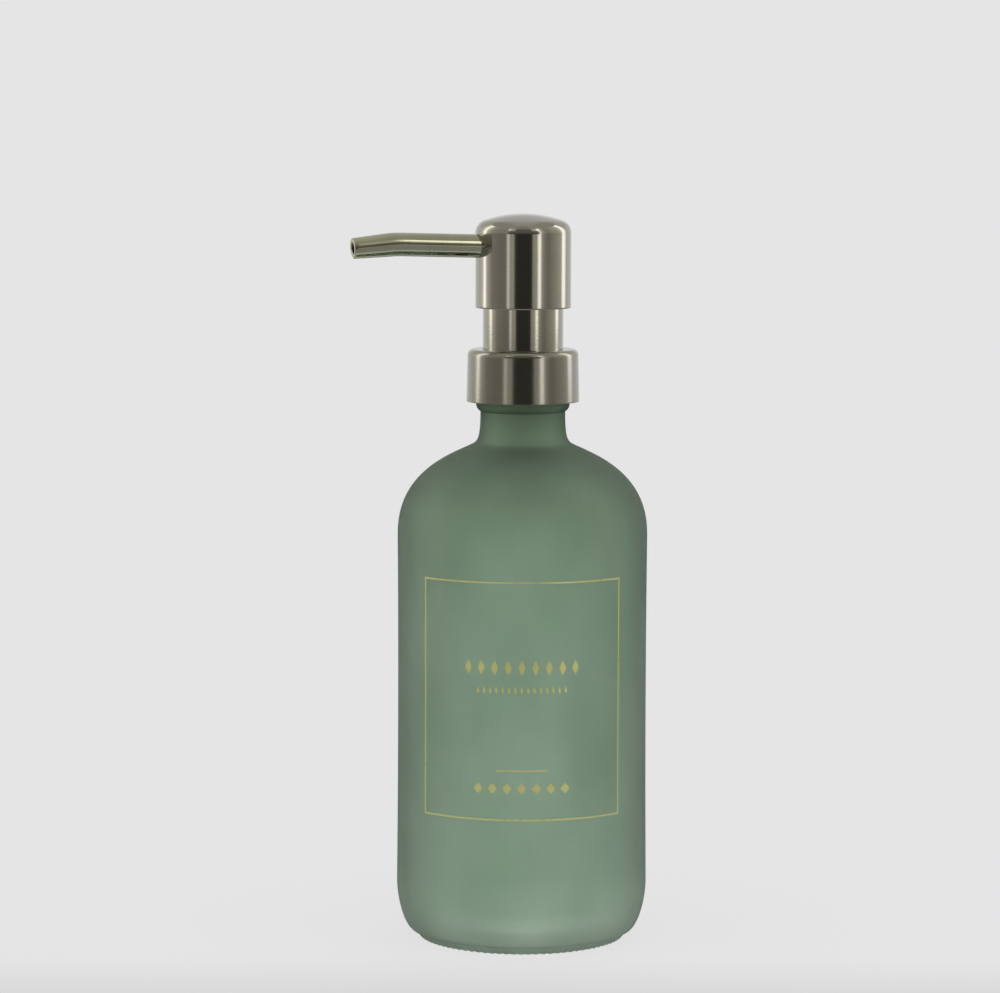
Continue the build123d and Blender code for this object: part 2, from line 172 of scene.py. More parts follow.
def side_radius(height):
    """Radius of the body at a height: it narrows a little upwards, and is slightly waisted."""
    share = (height - heel_height) / side_height
    return body_radius - body_taper * share - 4 * body_bow * share * (1 - share)


def foot_and_thread(radius, height, angle):
    """Sink the stipple into the bearing ring, and raise the thread on the finish."""
    if height < band_height and radius > bearing_inner - stipple_width:
        near = max(0.0, 1 - ((radius - bearing_outer) / stipple_width) ** 2)
        uneven = 0.75 + 0.25 * sin(7 * angle) * cos(11 * angle + 1)
        height += stipple_depth * near * uneven * (0.5 - 0.5 * cos(stipple_count * angle)) ** 2
    if bead_high + bead_edge < height < lip_z - 1e-6 and radius > finish_radius - lip_start:
        for turn in (angle / (2 * pi), angle / (2 * pi) + 1):
            if turn <= thread_turns:
                off = abs(height - thread_low - thread_pitch * turn)
                rise = min(1, max(0, (thread_root - off) / (thread_root - thread_crest)))
                ends = min(turn, thread_turns - turn) * 2 * pi / thread_run_in
                radius += thread_depth * rise * min(1, ends)
    return radius, height


shoulder_foot = neck_radius + neck_flare + neck_fillet / 2
shoulder_end = (shoulder_foot, shoulder_top)
slope_pull = shoulder_pull * cos(shoulder_slope), shoulder_pull * sin(shoulder_slope)
inner_radius = body_radius - waist_depth - wall
throat = (bore_radius + wall, shoulder_top - wall)
inner_heel_start = (inner_radius - inner_heel, bottle_floor - push_up / 2)
outside_outline = [
    *bezier(
        (0, push_up), (bearing_inner / 3, push_up), (bearing_inner * 0.7, push_up * 0.9),
        (bearing_inner, 0), 10,
    ),
    *evenly((bearing_inner, 0), (bearing_outer, 0), 4),
    *evenly((bearing_outer, 0), (band_radius, band_height), 5),
    (band_radius, band_height), (groove_radius, foot_height - groove_rise),
    *bezier(
        (foot_radius, foot_height), (foot_radius + heel_start_out, foot_height + heel_start_up),
        (body_radius + heel_fullness * lean_low, heel_height - heel_fullness), (body_radius, heel_height), 18,
    ),
    *[(side_radius(z), z) for z in (heel_height + side_height * i / 12 for i in range(12))],
    *bezier(
        (body_radius - body_taper, body_height),
        (body_radius - body_taper + shoulder_fullness * lean_high, body_height + shoulder_fullness),
        (shoulder_foot + slope_pull[0], shoulder_top - slope_pull[1]), shoulder_end, 24,
    ),
    *bezier(
        shoulder_end, (shoulder_foot - neck_pull, shoulder_top + neck_pull * tan(shoulder_slope)),
        (neck_radius + neck_flare / 2, shoulder_top + neck_fillet), (neck_radius, bead_low), 10,
    ),
    *rounded([
        (neck_radius, bead_low, 0), (bead_radius, bead_low + bead_rise, bead_fillet),
        (bead_radius, bead_high, bead_edge), (finish_radius, bead_high, 0),
    ], 8),
    *evenly((finish_radius, bead_high + 0.1), (finish_radius, lip_z - lip_fillet), 34),
]
inside_outline = [
    *rounded([
        (finish_radius, lip_z - lip_start, 0), (finish_radius, lip_z, lip_fillet),
        (bore_radius, lip_z, 0.5), (bore_radius, shoulder_top + neck_fillet + bore_entry, 0),
    ])[1:],
    *bezier(
        (bore_radius, shoulder_top + neck_fillet), (bore_radius, shoulder_top),
        (throat[0] - wall, throat[1] + wall * tan(shoulder_slope)), throat, 8,
    ),
    *bezier(
        throat, (throat[0] + slope_pull[0], throat[1] - slope_pull[1]),
        (inner_radius, body_height + shoulder_fullness - wall), (inner_radius, body_height), 18,
    ),
    *evenly((inner_radius, body_height), (inner_radius, bottle_floor + inner_heel), 3),
    *bezier(
        (inner_radius, bottle_floor + inner_heel), (inner_radius, bottle_floor + inner_heel * 0.4),
        (inner_heel_start[0] + inner_heel * 0.6, inner_heel_start[1] - push_up / 6), inner_heel_start, 12,
    ),
    *bezier(
        inner_heel_start, (inner_heel_start[0] * 0.6, bottle_floor), (inner_heel_start[0] / 3, bottle_floor),
        (0, bottle_floor), 6,
    ),
    (0, bottle_floor),
]
bottle = lathe("frosted_bottle", outside_outline + inside_outline, segments, foot_and_thread, radians(50))


def linear(hex_colour):
    """An sRGB hex colour as linear RGBA."""
    parts = [int(hex_colour[i:i + 2], 16) / 255 for i in (1, 3, 5)]
    return (*[c / 12.92 if c <= 0.04045 else ((c + 0.055) / 1.055) ** 2.4 for c in parts], 1)


def add(tree, kind, inputs=None, stops=(), **settings):
    """Add a node: inputs are values or sockets to link, and stops a colour ramp's (place, colour) pairs."""
    node = tree.nodes.new(kind)
    for name, value in settings.items():
        setattr(node, name, value)
    for name, value in (inputs or {}).items():
        if isinstance(value, bpy.types.NodeSocket):
            tree.links.new(value, node.inputs[name])
        else:
            node.inputs[name].default_value = value
    for i, (place, tone) in enumerate(stops):
        element = node.color_ramp.elements[i] if i < 2 else node.color_ramp.elements.new(place)
        element.position, element.color = place, tone
    return node


def new_finish(name, **shader_inputs):
    """A material with a Principled shader, and its tree, shader and Object coordinates in mm."""
    material = bpy.data.materials.new(name)
    material.use_nodes = True
    tree = material.node_tree
    tree.nodes.clear()
    shader = add(tree, "ShaderNodeBsdfPrincipled", {k.replace("_", " "): v for k, v in shader_inputs.items()})
    add(tree, "ShaderNodeOutputMaterial", {"Surface": shader.outputs["BSDF"]})
    place = add(tree, "ShaderNodeTexCoord")
    in_mm = add(tree, "ShaderNodeMapping", {"Vector": place.outputs["Object"], "Scale": (1000, 1000, 1000)})
    return material, tree, shader, in_mm.outputs["Vector"]


def finish_surface(tree, shader, colour, pattern, rough_low, rough_high, relief=None):
    """Set colour, roughness and relief. Roughness follows a noise pattern, and so does a pair of colours."""
    if isinstance(colour, tuple):
        stops = [(0.3, linear(colour[0])), (0.7, linear(colour[1]))]
        colour = add(tree, "ShaderNodeValToRGB", {"Fac": pattern.outputs["Fac"]}, stops).outputs["Color"]
    rough = add(tree, "ShaderNodeMapRange", {
        "Value": pattern.outputs["Fac"], "From Min": 0.3, "From Max": 0.7,
        "To Min": rough_low, "To Max": rough_high,
    })
    tree.links.new(colour, shader.inputs["Base Color"])
    tree.links.new(rough.outputs["Result"], shader.inputs["Roughness"])
    if relief:
        tree.links.new(relief.outputs["Normal"], shader.inputs["Normal"])


# Soda-lime glass tinted green, etched in acid: light goes through but scatters widely, so nothing behind it
# has an edge. Its colour carries painted shade and light by height: painted shade makes the neck and shoulder
# deeper green, and painted light makes the heel paler. It darkens towards its sides, where light has further
# to go. The etch leaves soft upright clouds a few centimetres wide, and its crystals are 0.05 mm and are
# drawn
# 0.4 mm wide to show. A colour Mix node's colours are its inputs 6 and 7, and it gives them mixed at output
# 2.
etched_glass, tree, shader, in_mm = new_finish("acid_etched_glass", IOR=1.5, Transmission_Weight=0.8)
upright = add(tree, "ShaderNodeMapping", {"Vector": in_mm, "Scale": (1 / 20, 1 / 20, 1 / 36)})
clouds = add(tree, "ShaderNodeTexNoise", {
    "Vector": upright.outputs[0], "Scale": 1.0, "Detail": 3.0, "Roughness": 0.45,
})
grain = add(tree, "ShaderNodeTexNoise", {"Vector": in_mm, "Scale": 1 / 0.4, "Detail": 2.0, "Roughness": 0.6})
level = add(tree, "ShaderNodeSeparateXYZ", {"Vector": in_mm}).outputs["Z"]
# Painted shade and light by height: the ramp below darkens the neck and shoulder and brightens the heel.
painted_shade_height = add(tree, "ShaderNodeMapRange", {"Value": level, "From Max": 160.0})
tint = add(tree, "ShaderNodeValToRGB", {"Fac": painted_shade_height.outputs[0]}, [
    (0.0, linear("#F1FFF2")), (0.05, linear("#E0F3E2")), (0.08, linear("#D3E8D5")), (0.15, linear("#C1D7C4")),
    (0.6, linear("#C1D7C4")), (0.76, linear("#B8CFB9")), (0.85, linear("#A8BFA8")), (0.91, linear("#A3BBA3")),
    (0.955, linear("#ADC7AC")), (1.0, linear("#92AC90")),
])
clouding = add(tree, "ShaderNodeValToRGB", {"Fac": clouds.outputs["Fac"]}, [
    (0.36, (0.79, 0.83, 0.8, 1)), (0.64, (0.97, 0.97, 0.97, 1)),
])
cloudy = add(tree, "ShaderNodeMix", {
    "Factor": 1.0, 6: tint.outputs[0], 7: clouding.outputs[0],
}, data_type="RGBA", blend_type="MULTIPLY")
slant = add(tree, "ShaderNodeLayerWeight", {"Blend": 0.5})
longer = add(tree, "ShaderNodeValToRGB", {"Fac": slant.outputs["Facing"]}, [
    (0.0, (1, 1, 1, 1)), (0.16, (0.84, 0.85, 0.84, 1)), (0.34, (0.67, 0.71, 0.68, 1)),
    (0.63, (0.43, 0.45, 0.44, 1)), (0.85, (0.37, 0.38, 0.37, 1)),
])
sided = add(tree, "ShaderNodeMix", {
    "Factor": 1.0, 6: cloudy.outputs[2], 7: longer.outputs[0],
}, data_type="RGBA", blend_type="MULTIPLY")
etch = add(tree, "ShaderNodeBump", {"Height": grain.outputs["Fac"], "Strength": 0.25, "Distance": 0.00004})
finish_surface(tree, shader, sided.outputs[2], clouds, 0.84, 0.76, etch)

# The same glass as the blowing mould left it: smooth, with slow waves a centimetre apart.
blown_glass, tree, shader, in_mm = new_finish("blown_glass", IOR=1.5, Transmission_Weight=1.0)
swell = add(tree, "ShaderNodeTexNoise", {"Vector": in_mm, "Scale": 1 / 11, "Detail": 1.0})
waves = add(tree, "ShaderNodeBump", {"Height": swell.outputs["Fac"], "Strength": 0.3, "Distance": 0.0004})
finish_surface(tree, shader, ("#D8E6D8", "#DCE9DD"), swell, 0.3, 0.38, waves)

bottle.data.materials.append(etched_glass)
bottle.data.materials.append(blown_glass)
# The smooth glass starts inside the mouth, past the lip's rounding.
first_blown_ring = len(outside_outline) + 10
for face in bottle.data.polygons:
    face.material_index = int(face.index >= segments * first_blown_ring)
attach(bottle, "bottle")
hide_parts("bottle")


# Gold print
# Bright gold, screened on to the front of the glass and fired: a thin frame, three rows of plain marks and
# a short rule. It is drawn flat, one mark per point of a line, and then wrapped round the waisted body.

frame_low, frame_high, frame_half_angle, frame_line, print_thickness = 41.7, 112.2, 49.5, 0.45, 0.06
print_rows = [
    # height, count, pitch, width, mark height, corners of the mark
    (87.0, 9, 4.1, 2.2, 4.6, 4),
    (80.3, 15, 1.9, 0.9, 2.4, 4),
    (51.1, 7, 4.4, 2.9, 3.2, 4),
]
rule_z, rule_length = 56.4, 15.4
half_width = radians(frame_half_angle) * body_radius


def new_modifier_tree(name, sizes):
    """Geometry tree that takes a mesh, and has an input for each named size."""
    tree = bpy.data.node_groups.new(name, "GeometryNodeTree")
    tree.interface.new_socket("Geometry", in_out="INPUT", socket_type="NodeSocketGeometry")
    tree.interface.new_socket("Geometry", in_out="OUTPUT", socket_type="NodeSocketGeometry")
    kinds = {int: "NodeSocketInt", float: "NodeSocketFloat", tuple: "NodeSocketVector"}
    for label, size in sizes.items():
        tree.interface.new_socket(label, in_out="INPUT", socket_type=kinds[type(size)])
    return tree, tree.nodes.new("NodeGroupInput").outputs


def finish_modifier_tree(tree, geometry, finish):
    """Close a geometry tree: real mesh, material on, out."""
    real = add(tree, "GeometryNodeRealizeInstances", {"Geometry": geometry})
    coated = add(tree, "GeometryNodeSetMaterial", {"Geometry": real.outputs[0], "Material": finish})
    add(tree, "NodeGroupOutput", {"Geometry": coated.outputs[0]})


def grown(name, start_mesh, tree, sizes):
    """A plain mesh object, grown from a starting mesh by a geometry tree with the given sizes."""
    piece = bpy.data.objects.new(name, start_mesh)
    bpy.context.scene.collection.objects.link(piece)
    modifier = piece.modifiers.new(name, "NODES")
    modifier.node_group = tree
    for item in tree.interface.items_tree:
        if item.in_out == "INPUT" and item.name in sizes:
            modifier[item.identifier] = sizes[item.name]
    graph = bpy.context.evaluated_depsgraph_get()
    mesh = bpy.data.meshes.new_from_object(piece.evaluated_get(graph))
    piece.modifiers.remove(modifier)
    piece.data = mesh
    mesh.name = name
    mesh.shade_smooth()
    mesh.set_sharp_from_angle(angle=radians(40))
    return piece


# Fired gold: a thin layer of pale burnished metal. Its grains lie a little open, so it scatters some light
# as a paint does, and it is duller in patches about a millimetre wide, where the screen's dots didn't join.
gold, tree, shader, in_mm = new_finish("fired_gold_print", Metallic=0.7)
patches = add(tree, "ShaderNodeTexNoise", {
    "Vector": in_mm, "Scale": 1 / 1.6, "Detail": 3.0, "Roughness": 0.6,
})
dots = add(tree, "ShaderNodeBump", {"Height": patches.outputs["Fac"], "Strength": 0.2, "Distance": 0.000008})
finish_surface(tree, shader, ("#D6D38A", "#DEDB94"), patches, 0.27, 0.34, dots)

sizes = {
    "Radius": body_radius * mm, "Taper": body_taper * mm, "Bow": body_bow * mm,
    "Middle Radius": (body_radius - body_taper / 2) * mm, "Middle": (body_height + heel_height) / 2 * mm,
    "Half Height": side_height / 2 * mm, "Thickness": print_thickness * mm,
}
for i, (height, count, pitch, width, mark_height, corners) in enumerate(print_rows):
    sizes |= {
        f"Row {i} Height": height * mm, f"Row {i} Count": count, f"Row {i} Pitch": pitch * mm,
        f"Row {i} Mark": (width * mm, 1.0, mark_height * mm), f"Row {i} Corners": corners,
    }
tree, asked = new_modifier_tree("print_wrapped_on_glass", sizes)
flat = add(tree, "GeometryNodeJoinGeometry")
tree.links.new(asked["Geometry"], flat.inputs[0])
for i in range(len(print_rows)):
    count, pitch = asked[f"Row {i} Count"], asked[f"Row {i} Pitch"]
    span = add(tree, "ShaderNodeMath", {0: count, 1: -0.5, 2: 0.5}, operation="MULTIPLY_ADD")
    first = add(tree, "ShaderNodeMath", {0: span.outputs[0], 1: pitch}, operation="MULTIPLY")
    start = add(tree, "ShaderNodeCombineXYZ", {"X": first.outputs[0], "Z": asked[f"Row {i} Height"]})
    step = add(tree, "ShaderNodeCombineXYZ", {"X": pitch})
    line = add(tree, "GeometryNodeMeshLine", {
        "Count": count, "Start Location": start.outputs[0], "Offset": step.outputs[0],
    })
    mark = add(tree, "GeometryNodeMeshCircle", {
        "Vertices": asked[f"Row {i} Corners"], "Radius": 0.5,
    }, fill_type="NGON")
    upright = add(tree, "GeometryNodeTransform", {"Geometry": mark.outputs[0], "Rotation": (pi / 2, 0, 0)})
    row = add(tree, "GeometryNodeInstanceOnPoints", {
        "Points": line.outputs[0], "Instance": upright.outputs[0], "Scale": asked[f"Row {i} Mark"],
    })
    tree.links.new(row.outputs[0], flat.inputs[0])
laid = add(tree, "GeometryNodeRealizeInstances", {"Geometry": flat.outputs[0]})
spot = add(tree, "ShaderNodeSeparateXYZ", {"Vector": add(tree, "GeometryNodeInputPosition").outputs[0]})
off_middle = add(tree, "ShaderNodeMath", {0: spot.outputs["Z"], 1: asked["Middle"]}, operation="SUBTRACT")
share = add(tree, "ShaderNodeMath", {0: off_middle.outputs[0], 1: asked["Half Height"]}, operation="DIVIDE")
squared = add(tree, "ShaderNodeMath", {0: share.outputs[0], 1: share.outputs[0]}, operation="MULTIPLY")
bow = add(tree, "ShaderNodeMath", {0: squared.outputs[0], 1: 1.0}, operation="SUBTRACT")
bowed = add(tree, "ShaderNodeMath", {
    0: bow.outputs[0], 1: asked["Bow"], 2: asked["Middle Radius"],
}, operation="MULTIPLY_ADD")
leaning = add(tree, "ShaderNodeMath", {0: asked["Taper"], 1: -0.5}, operation="MULTIPLY")
here = add(tree, "ShaderNodeMath", {
    0: share.outputs[0], 1: leaning.outputs[0], 2: bowed.outputs[0],
}, operation="MULTIPLY_ADD")
turn = add(tree, "ShaderNodeMath", {0: spot.outputs["X"], 1: asked["Radius"]}, operation="DIVIDE")
sine = add(tree, "ShaderNodeMath", {0: turn.outputs[0]}, operation="SINE")
cosine = add(tree, "ShaderNodeMath", {0: turn.outputs[0]}, operation="COSINE")
away = add(tree, "ShaderNodeMath", {0: here.outputs[0], 1: -1.0}, operation="MULTIPLY")
wrapped_x = add(tree, "ShaderNodeMath", {0: sine.outputs[0], 1: here.outputs[0]}, operation="MULTIPLY")
wrapped_y = add(tree, "ShaderNodeMath", {0: cosine.outputs[0], 1: away.outputs[0]}, operation="MULTIPLY")
wrapped = add(tree, "ShaderNodeCombineXYZ", {
    "X": wrapped_x.outputs[0], "Y": wrapped_y.outputs[0], "Z": spot.outputs["Z"],
})
on_glass = add(tree, "GeometryNodeSetPosition", {"Geometry": laid.outputs[0], "Position": wrapped.outputs[0]})
raised = add(tree, "GeometryNodeExtrudeMesh", {
    "Mesh": on_glass.outputs[0], "Offset Scale": asked["Thickness"], "Individual": False,
})
back = add(tree, "GeometryNodeFlipFaces", {"Mesh": on_glass.outputs[0]})
both = add(tree, "GeometryNodeJoinGeometry")
for part in (raised, back):
    tree.links.new(part.outputs[0], both.inputs[0])
sealed = add(tree, "GeometryNodeMergeByDistance", {"Geometry": both.outputs[0], "Distance": 1e-6})
finish_modifier_tree(tree, sealed.outputs[0], gold)


def strip(work, left, right, low, high, columns, levels):
    """Flat grid that faces -Y, in mm, added to a mesh in the making."""
    across = [(left + (right - left) * i / columns) * mm for i in range(columns + 1)]
    upwards = [(low + (high - low) * j / levels) * mm for j in range(levels + 1)]
    grid = [[work.verts.new((x, 0, z)) for x in across] for z in upwards]
    skin(work, grid)


half_line = frame_line / 2
frame_side = half_width + half_line
lines = bmesh.new()
for height in (frame_low, frame_high):
    strip(lines, -frame_side, frame_side, height - half_line, height + half_line, 96, 1)
for side in (-half_width, half_width):
    strip(lines, side - half_line, side + half_line, frame_low + half_line, frame_high - half_line, 1, 48)
strip(lines, -rule_length / 2, rule_length / 2, rule_z - half_line, rule_z + half_line, 24, 1)
bmesh.ops.remove_doubles(lines, verts=lines.verts, dist=1e-6)
flat_lines = plain_mesh(lines, "print_lines")
gold_print = grown("gold_print_on_glass", flat_lines, tree, sizes)
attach(gold_print, "bottle")
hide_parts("gold_print")


# Housing, dip tube, inlet valve and gasket
# The pump hangs in the neck by its flange, on a foamed gasket. The housing is moulded in natural
# polypropylene, and the dip tube is a length of extruded polyethylene pushed into its socket.

def moulded(name, dark, light, rough_low, rough_high, grain_size, grain_depth):
    """Moulded or extruded plastic: an even colour, slightly clouded, with a fine dull grain."""
    finish, tree, shader, in_mm = new_finish(name, IOR=1.49)
    mottle = add(tree, "ShaderNodeTexNoise", {"Vector": in_mm, "Scale": 1 / (grain_size * 20), "Detail": 2.0})
    fine = add(tree, "ShaderNodeTexNoise", {"Vector": in_mm, "Scale": 1 / grain_size, "Detail": 2.0})
    bump = add(tree, "ShaderNodeBump", {
        "Height": fine.outputs["Fac"], "Strength": 0.3, "Distance": grain_depth * mm,
    })
    tone = add(tree, "ShaderNodeValToRGB", {"Fac": mottle.outputs["Fac"]}, [
        (0.3, linear(dark)), (0.7, linear(light)),
    ])
    finish_surface(tree, shader, tone.outputs[0], fine, rough_low, rough_high, bump)
    return finish


def dress(finish, *names):
    """Give CAD nodes a finish in place of the plain one that they came with."""
    for name in names:
        nodes[name].data.materials.clear()
        nodes[name].data.materials.append(finish)


# Natural polypropylene: milky, with the satin of a spark-eroded mould. The grain is drawn 0.3 mm wide.
natural_pp = moulded("moulded_natural_polypropylene", "#D3D7D1", "#DEE1DC", 0.32, 0.42, 0.3, 0.02)
# Extruded polyethylene: waxy, and a little duller than the mouldings.
tube_pe = moulded("extruded_polyethylene", "#DADDD8", "#E4E6E2", 0.36, 0.48, 0.5, 0.03)
# White polypropylene: opaque, brighter, semi-gloss.
white_pp = moulded("moulded_white_polypropylene", "#E3E3DF", "#EDEDEA", 0.28, 0.38, 0.3, 0.02)
# Foamed polyethylene: soft, matt, with open cells about 0.2 mm wide on its cut edge.
foam = moulded("foamed_polyethylene", "#C9C8C3", "#DBDAD6", 0.75, 0.9, 0.2, 0.08)
dress(natural_pp, "pump_housing")
dress(tube_pe, "dip_tube", "piston")
dress(white_pp, "ball_retainer", "stem_guide", "piston_retainer", "stem", "closure_cap")
dress(foam, "neck_gasket")

# Ground soda-lime ball for the inlet valve: clear, with the faint haze of its grinding in 0.6 mm patches.
ball_glass, tree, shader, in_mm = new_finish("ground_glass_ball", IOR=1.5, Transmission_Weight=1.0)
haze = add(tree, "ShaderNodeTexNoise", {"Vector": in_mm, "Scale": 1 / 0.6, "Detail": 2.0})
finish_surface(tree, shader, ("#E4EFEA", "#EEF5F1"), haze, 0.04, 0.12)
dress(ball_glass, "inlet_ball")


# Return spring
# Stainless wire wound into a compression spring. Its end turns lie closed on the ball retainer and on the
# piston retainer. It shortens as the head goes down, but here it is wound at one length.

spring_low, spring_high, spring_radius, wire = 131.6, 162.45, 4.9, 1.0
spring_turns, closed_turns, stroke = 9.0, 1.0, 11.5

# Drawn stainless wire: bright, with the fine scoring of the die, which is 0.02 mm and is drawn 0.15 mm wide.
steel, tree, shader, in_mm = new_finish("drawn_stainless_wire", Metallic=1.0)
drawn = add(tree, "ShaderNodeTexNoise", {"Vector": in_mm, "Scale": 1 / 0.15, "Detail": 1.0})
finish_surface(tree, shader, ("#B4B3AF", "#C9C8C4"), drawn, 0.22, 0.36)
dress(steel, "outlet_ball")

sizes = {
    "Radius": spring_radius * mm, "Wire": wire * mm, "Low": (spring_low + wire / 2) * mm,
    "Length": (spring_high - spring_low - wire) * mm, "Turns": spring_turns,
    "Closed Share": closed_turns / spring_turns,
}
tree, asked = new_modifier_tree("wound_spring", sizes)
coil = add(tree, "GeometryNodeCurveSpiral", {
    "Resolution": 48, "Rotations": asked["Turns"], "Start Radius": asked["Radius"],
    "End Radius": asked["Radius"], "Height": 1.0,
})
spot = add(tree, "ShaderNodeSeparateXYZ", {"Vector": add(tree, "GeometryNodeInputPosition").outputs[0]})
closed_share, closed_rise = asked["Closed Share"], asked["Wire"]
open_share = add(tree, "ShaderNodeMath", {0: 1.0, 1: closed_share}, operation="SUBTRACT").outputs[0]
open_rise = add(tree, "ShaderNodeMath", {
    0: closed_rise, 1: -2.0, 2: asked["Length"],
}, operation="MULTIPLY_ADD")
rises = [
    add(tree, "ShaderNodeMapRange", {
        "Value": spot.outputs["Z"], "From Min": begin, "From Max": end, "To Max": rise,
    })
    for begin, end, rise in (
        (0.0, closed_share, closed_rise), (closed_share, open_share, open_rise.outputs[0]),
        (open_share, 1.0, closed_rise),
    )
]
height = asked["Low"]
for rise in rises:
    height = add(tree, "ShaderNodeMath", {0: height, 1: rise.outputs[0]}, operation="ADD").outputs[0]
bent = add(tree, "ShaderNodeCombineXYZ", {"X": spot.outputs["X"], "Y": spot.outputs["Y"], "Z": height})
risen = add(tree, "GeometryNodeSetPosition", {"Geometry": coil.outputs[0], "Position": bent.outputs[0]})
half_wire = add(tree, "ShaderNodeMath", {0: asked["Wire"], 1: 0.5}, operation="MULTIPLY")
round_wire = add(tree, "GeometryNodeCurvePrimitiveCircle", {"Resolution": 14, "Radius": half_wire.outputs[0]})
wound = add(tree, "GeometryNodeCurveToMesh", {
    "Curve": risen.outputs[0], "Profile Curve": round_wire.outputs[0], "Fill Caps": True,
})
finish_modifier_tree(tree, wound.outputs[0], steel)
spring = grown("wound_return_spring", bpy.data.meshes.new("spring_start"), tree, sizes)
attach(spring, "pump_body")
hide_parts("return_spring")
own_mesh(spring)


# Collar
# A cup pressed from thin steel, polished on a wheel and plated, over the moulded screw closure. Its top
# edge is rounded by the press, and its lower edge is turned so that it doesn't cut.

collar_low, collar_high, collar_radius_top, collar_radius_low = 162.85, 178.6, 16.65, 17.0
collar_fillet, shell_wall, sleeve_radius = 1.8, 0.5, 12.1
shell_segments = 256

# Antique nickel: nickel plate darkened and then polished back, so it is warm grey and mirror-like, with fine
# wheel marks in rings and stains about a centimetre wide. The marks and pits are under 0.1 mm wide, and they
# are drawn 0.35 mm and 0.8 mm wide to show in the highlights.
def antique_nickel(name, deep, bright, stain, rough_low, rough_high, ring_depth):
    """Polished plate whose marks run in rings about Z."""
    finish, tree, shader, in_mm = new_finish(name, Metallic=1.0)
    stretched = add(tree, "ShaderNodeMapping", {"Vector": in_mm, "Scale": (0.12, 0.12, 2.9)})
    rings = add(tree, "ShaderNodeTexNoise", {
        "Vector": stretched.outputs[0], "Scale": 1.0, "Detail": 3.0, "Roughness": 0.7,
    })
    broad = add(tree, "ShaderNodeTexNoise", {"Vector": in_mm, "Scale": 1 / 8, "Detail": 2.0})
    pits = add(tree, "ShaderNodeTexNoise", {"Vector": in_mm, "Scale": 1 / 0.8, "Detail": 2.0})
    tone = add(tree, "ShaderNodeValToRGB", {"Fac": rings.outputs["Fac"]}, [
        (0.3, linear(deep)), (0.7, linear(bright)),
    ])
    stains = add(tree, "ShaderNodeMapRange", {
        "Value": broad.outputs["Fac"], "From Min": 0.38, "From Max": 0.62, "To Max": 0.7,
    })
    stained = add(tree, "ShaderNodeMix", {
        "Factor": stains.outputs[0], 6: tone.outputs[0], 7: linear(stain),
    }, data_type="RGBA")
    both = add(tree, "ShaderNodeMath", {
        0: rings.outputs["Fac"], 1: 0.1, 2: pits.outputs["Fac"],
    }, operation="MULTIPLY_ADD")
    bump = add(tree, "ShaderNodeBump", {
        "Height": both.outputs[0], "Strength": 0.5, "Distance": ring_depth * mm,
    })
    finish_surface(tree, shader, stained.outputs[2], rings, rough_low, rough_high, bump)
    return finish


# The head and sleeve are brighter than the collar, which is left satin.
plate = antique_nickel("polished_antique_nickel", "#A3A294", "#ACAB9F", "#A5A09C", 0.04, 0.065, 0.008)
collar_plate = antique_nickel("satin_antique_nickel", "#959485", "#9E9D90", "#9A9592", 0.12, 0.16, 0.012)

collar = lathe("collar_shell_polished", held(rounded([
    (collar_radius_low, collar_low, 0.12), (collar_radius_top, collar_high, collar_fillet),
    (sleeve_radius + 0.1, collar_high, 0.3), (sleeve_radius + 0.1, collar_high - shell_wall, 0.1),
    (collar_radius_top - shell_wall, collar_high - shell_wall, collar_fillet - shell_wall),
    (collar_radius_low - shell_wall, collar_low, 0.2),
], 8)), shell_segments)
collar.data.materials.append(collar_plate)
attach(collar, "collar")
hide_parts("collar_shell")


# Guide sleeve and wiper
# A length of polished, plated tube pressed over the moulded stem guide, which is clipped to the housing.
# A rubber ring under the guide wipes the stem.

sleeve_low, sleeve_high, sleeve_wall = 178.1, 193.0, 0.45
sleeve = lathe("guide_sleeve_polished", held(rounded([
    (sleeve_radius, sleeve_low, 0.15), (sleeve_radius, sleeve_high, 0.2),
    (sleeve_radius - sleeve_wall, sleeve_high, 0.2), (sleeve_radius - sleeve_wall, sleeve_low, 0.15),
], 4)), shell_segments)
sleeve.data.materials.append(plate)
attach(sleeve, "pump_body")
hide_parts("guide_sleeve")

# Nitrile rubber, moulded: black, dull, with a bloom that greys it in patches.
rubber = moulded("moulded_nitrile_rubber", "#1D1D1C", "#2B2B2A", 0.5, 0.68, 0.25, 0.03)
dress(rubber, "stem_wiper", "spout_seal")


# Pump head
# A domed cap drawn from thin steel, polished and plated like the collar, over a black moulded core that
# joins the stem to the spout. The spout comes out through a hole in its side.

head_radius, head_wall, head_low, head_high = 14.4, 0.45, 191.0, 219.2
head_corner, crown_radius, rim_height = 4.0, 36.0, 0.5
spout_azimuth, spout_z, spout_radius, spout_rise = radians(17), 209.6, 3.53, radians(1.7)
hole_gap, drill_reach, drill_length = 0.01, 14.0, 16.0


def crown(radius, high, crown_radius, corner, steps):
    """Outline of a dome from its side up to the axis: rounded corner, then a shallow crown."""
    reach = crown_radius - corner
    corner_x = radius - corner
    centre_z = high - crown_radius
    corner_z = centre_z + (reach**2 - corner_x**2) ** 0.5
    end = atan2(corner_z - centre_z, corner_x)
    bends = [end * i / steps for i in range(steps)]
    turns = [end + (pi / 2 - end) * i / steps for i in range(steps)]
    side = [(corner_x + corner * cos(bend), corner_z + corner * sin(bend)) for bend in bends]
    top = [(crown_radius * cos(turn), centre_z + crown_radius * sin(turn)) for turn in turns]
    return [*side, *top, (0, high)]


outside = crown(head_radius, head_high, crown_radius, head_corner, 16)
inside = crown(
    head_radius - head_wall, head_high - head_wall, crown_radius - head_wall, head_corner - head_wall, 10,
)
rim = rounded([
    (head_radius - head_wall, head_low + rim_height, 0), (head_radius - head_wall, head_low, 0.15),
    (head_radius, head_low, 0.22), (head_radius, head_low + rim_height, 0),
], 4)
whole_head = lathe("head_shell_polished", held([*inside[::-1], *rim, *outside], looped=False), shell_segments)

